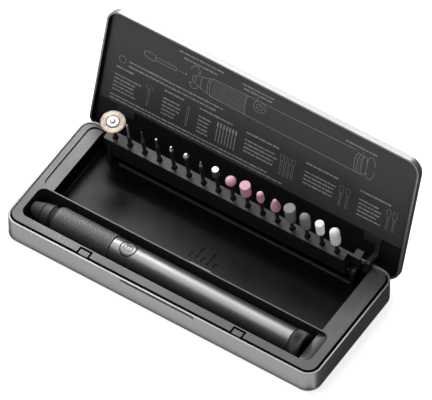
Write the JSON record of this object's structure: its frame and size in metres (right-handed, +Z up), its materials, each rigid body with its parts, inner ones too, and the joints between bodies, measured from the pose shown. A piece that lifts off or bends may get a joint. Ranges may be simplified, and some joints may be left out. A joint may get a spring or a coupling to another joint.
{
  "type": "electric nail drill kit",
  "caption": "Pen-shaped electric nail drill in a flat hinged metal case, with a folding rack of grinding, brushing and polishing bits.",
  "frame": {"origin": "middle of the case's flat underside", "axes": "+X along the case towards the pen's speed dial, +Y towards the lid's hinge, +Z up; the case lies level with its lid open and its rack standing"},
  "size_m": [0.216, 0.1193, 0.0935],
  "materials": {
    "case_aluminium": "bead-blasted grey anodised",
    "tray_plastic": "satin dark grey moulded",
    "printed_panel": "satin charcoal with light grey line print",
    "black_plastic": "satin black",
    "barrel_aluminium": "satin dark grey anodised",
    "grip_aluminium": "diamond knurled dark grey anodised",
    "steel": "bright",
    "burr_steel": "dark tool steel",
    "seal_rubber": "matt black",
    "pink_stone": "pink abrasive stone",
    "grey_rubber": "grey silicone polisher",
    "white_felt": "white felt",
    "bristle": "cream bristle",
    "circuit_board": "green laminate",
    "battery_wrap": "blue sleeve"
  },
  "bodies": {
    "case": {"base_shell": "case_aluminium", "inner_tray": "tray_plastic", "lid_catch_left": "tray_plastic", "lid_catch_right": "tray_plastic", "hinge_pin_left": "steel", "hinge_pin_right": "steel", "rack_pin_left": "steel", "rack_pin_right": "steel", "rack_spring": "steel"},
    "lid": {"lid_shell": "case_aluminium", "lid_panel": "printed_panel", "lid_hinge_cover": "black_plastic", "hinge_arm_left": "black_plastic", "hinge_arm_right": "black_plastic"},
    "rack": {"rack_bar": "black_plastic"},
    "pen": {"pen_barrel": "barrel_aluminium", "grip_sleeve": "grip_aluminium", "nose_seal": "seal_rubber", "nose_cone": "black_plastic", "front_bearing": "steel", "motor": "steel", "circuit_board": "circuit_board", "button_switch": "black_plastic", "battery": "battery_wrap", "speed_control": "burr_steel", "tail_cap": "black_plastic", "charge_port": "steel"},
    "chuck": {"chuck_nut": "black_plastic"},
    "spindle": {"spindle": "steel", "collet": "steel"},
    "button": {"power_button": "barrel_aluminium"},
    "dial": {"speed_dial": "black_plastic"},
    "wheel_brush": {"wheel_brush_mandrel": "burr_steel", "wheel_brush_disc": "bristle"},
    "twist_drill": {"twist_drill_bit": "burr_steel"},
    "needle_burr": {"needle_burr": "burr_steel"},
    "small_ball_burr": {"small_ball_burr": "burr_steel"},
    "neck_ball_burr": {"neck_ball_burr": "burr_steel"},
    "ball_burr": {"ball_burr": "burr_steel"},
    "taper_burr": {"taper_burr": "burr_steel"},
    "cylinder_burr": {"cylinder_burr": "burr_steel"},
    "pink_ball": {"pink_ball_shank": "burr_steel", "pink_ball_head": "pink_stone"},
    "pink_cylinder": {"pink_cylinder_shank": "burr_steel", "pink_cylinder_head": "pink_stone"},
    "pink_bullet": {"pink_bullet_shank": "burr_steel", "pink_bullet_head": "pink_stone"},
    "pink_cone": {"pink_cone_shank": "burr_steel", "pink_cone_head": "pink_stone"},
    "rubber_cylinder": {"rubber_cylinder_shank": "burr_steel", "rubber_cylinder_head": "grey_rubber"},
    "rubber_bullet": {"rubber_bullet_shank": "burr_steel", "rubber_bullet_head": "grey_rubber"},
    "felt_cylinder": {"felt_cylinder_shank": "burr_steel", "felt_cylinder_head": "white_felt"},
    "felt_bullet": {"felt_bullet_shank": "burr_steel", "felt_bullet_head": "white_felt"}
  },
  "joints": [
    {"name": "lid_hinge", "type": "hinge", "parent": "case", "child": "lid", "pos_m": [0, 0.04136, 0.0119], "axis": [-1, 0, 0], "range_deg": [-105.7, 0]},
    {"name": "rack_fold", "type": "hinge", "parent": "case", "child": "rack", "pos_m": [0, 0.0376, 0.011], "axis": [-1, 0, 0], "range_deg": [-81.3, 0]},
    {"name": "pen_lift", "type": "slide", "parent": "case", "child": "pen", "axis": [0, 0, 1], "range_m": [0, 0.05]},
    {"name": "power_button_press", "type": "slide", "parent": "pen", "child": "button", "axis": [0, 0, -1], "range_m": [0, 0.0004], "stiffness_N_per_m": 600, "springref_m": -0.0004},
    {"name": "chuck_twist", "type": "hinge", "parent": "pen", "child": "chuck", "pos_m": [-0.09, -0.0246, 0.0107], "axis": [1, 0, 0], "range_deg": [0, 90]},
    {"name": "spindle_spin", "type": "hinge", "parent": "pen", "child": "spindle", "pos_m": [-0.09, -0.0246, 0.0107], "axis": [1, 0, 0], "continuous": true},
    {"name": "speed_dial_turn", "type": "hinge", "parent": "pen", "child": "dial", "pos_m": [0.085, -0.0246, 0.0107], "axis": [1, 0, 0], "range_deg": [0, 270]},
    {"name": "wheel_brush_lift", "type": "slide", "parent": "rack", "child": "wheel_brush", "axis": [0, -0.1513, 0.9885], "range_m": [0, 0.03]},
    {"name": "twist_drill_lift", "type": "slide", "parent": "rack", "child": "twist_drill", "axis": [0, -0.1513, 0.9885], "range_m": [0, 0.03]},
    {"name": "needle_burr_lift", "type": "slide", "parent": "rack", "child": "needle_burr", "axis": [0, -0.1513, 0.9885], "range_m": [0, 0.03]},
    {"name": "small_ball_burr_lift", "type": "slide", "parent": "rack", "child": "small_ball_burr", "axis": [0, -0.1513, 0.9885], "range_m": [0, 0.03]},
    {"name": "neck_ball_burr_lift", "type": "slide", "parent": "rack", "child": "neck_ball_burr", "axis": [0, -0.1513, 0.9885], "range_m": [0, 0.03]},
    {"name": "ball_burr_lift", "type": "slide", "parent": "rack", "child": "ball_burr", "axis": [0, -0.1513, 0.9885], "range_m": [0, 0.03]},
    {"name": "taper_burr_lift", "type": "slide", "parent": "rack", "child": "taper_burr", "axis": [0, -0.1513, 0.9885], "range_m": [0, 0.03]},
    {"name": "cylinder_burr_lift", "type": "slide", "parent": "rack", "child": "cylinder_burr", "axis": [0, -0.1513, 0.9885], "range_m": [0, 0.03]},
    {"name": "pink_ball_lift", "type": "slide", "parent": "rack", "child": "pink_ball", "axis": [0, -0.1513, 0.9885], "range_m": [0, 0.03]},
    {"name": "pink_cylinder_lift", "type": "slide", "parent": "rack", "child": "pink_cylinder", "axis": [0, -0.1513, 0.9885], "range_m": [0, 0.03]},
    {"name": "pink_bullet_lift", "type": "slide", "parent": "rack", "child": "pink_bullet", "axis": [0, -0.1513, 0.9885], "range_m": [0, 0.03]},
    {"name": "pink_cone_lift", "type": "slide", "parent": "rack", "child": "pink_cone", "axis": [0, -0.1513, 0.9885], "range_m": [0, 0.03]},
    {"name": "rubber_cylinder_lift", "type": "slide", "parent": "rack", "child": "rubber_cylinder", "axis": [0, -0.1513, 0.9885], "range_m": [0, 0.03]},
    {"name": "rubber_bullet_lift", "type": "slide", "parent": "rack", "child": "rubber_bullet", "axis": [0, -0.1513, 0.9885], "range_m": [0, 0.03]},
    {"name": "felt_cylinder_lift", "type": "slide", "parent": "rack", "child": "felt_cylinder", "axis": [0, -0.1513, 0.9885], "range_m": [0, 0.03]},
    {"name": "felt_bullet_lift", "type": "slide", "parent": "rack", "child": "felt_bullet", "axis": [0, -0.1513, 0.9885], "range_m": [0, 0.03]}
  ],
  "couplings": [
    {"joint": "rack_fold", "follows": "lid_hinge", "ratio": 0.769}
  ]
}
